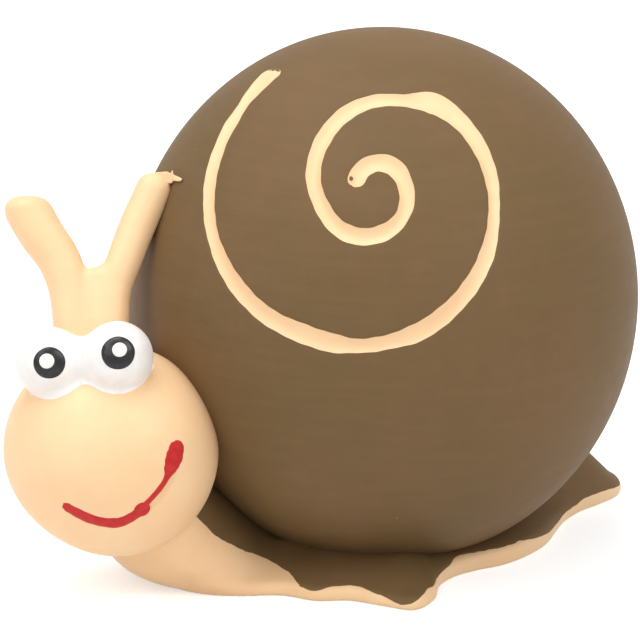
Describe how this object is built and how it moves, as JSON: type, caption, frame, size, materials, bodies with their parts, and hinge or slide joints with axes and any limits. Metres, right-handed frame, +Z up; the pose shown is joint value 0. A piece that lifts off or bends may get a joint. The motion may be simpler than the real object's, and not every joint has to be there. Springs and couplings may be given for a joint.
{
  "type": "snail figurine",
  "caption": "Hollow rubber snail figurine with a spiral-grooved globe shell, bulging eyes, bent tentacles, a frilled foot and a squeaker with a vibrating reed in its sole.",
  "frame": {"origin": "on the ground under the middle of the shell", "axes": "+X from the head to the tail, +Y to the right flank of the snail, +Z up"},
  "size_m": [0.1133, 0.0816, 0.083],
  "materials": {
    "brown_coat": "matt brown latex coat",
    "cream_rubber": "satin cream latex",
    "white_enamel": "white latex paint",
    "black_enamel": "gloss black paint",
    "red_enamel": "red paint",
    "squeaker_plastic": "moulded white plastic",
    "reed_film": "clear film"
  },
  "bodies": {
    "snail": {"shell": "brown_coat", "left_spiral": "cream_rubber", "right_spiral": "cream_rubber", "foot": "cream_rubber", "mantle": "brown_coat", "head": "cream_rubber", "left_tentacle": "cream_rubber", "right_tentacle": "cream_rubber", "left_eye": "white_enamel", "right_eye": "white_enamel", "left_pupil": "black_enamel", "right_pupil": "black_enamel", "left_glint": "white_enamel", "right_glint": "white_enamel", "mouth": "red_enamel", "squeaker_cup": "squeaker_plastic", "squeaker_cover": "squeaker_plastic", "reed_block": "squeaker_plastic", "reed_wedge": "squeaker_plastic"},
    "reed_tongue": {"reed": "reed_film"}
  },
  "joints": [
    {"name": "reed_flex", "type": "hinge", "parent": "snail", "child": "reed_tongue", "pos_m": [0.00018, 0, 0.00385], "axis": [0, 1, 0], "range_deg": [-4, 6], "stiffness_Nm_per_rad": 0.004}
  ]
}
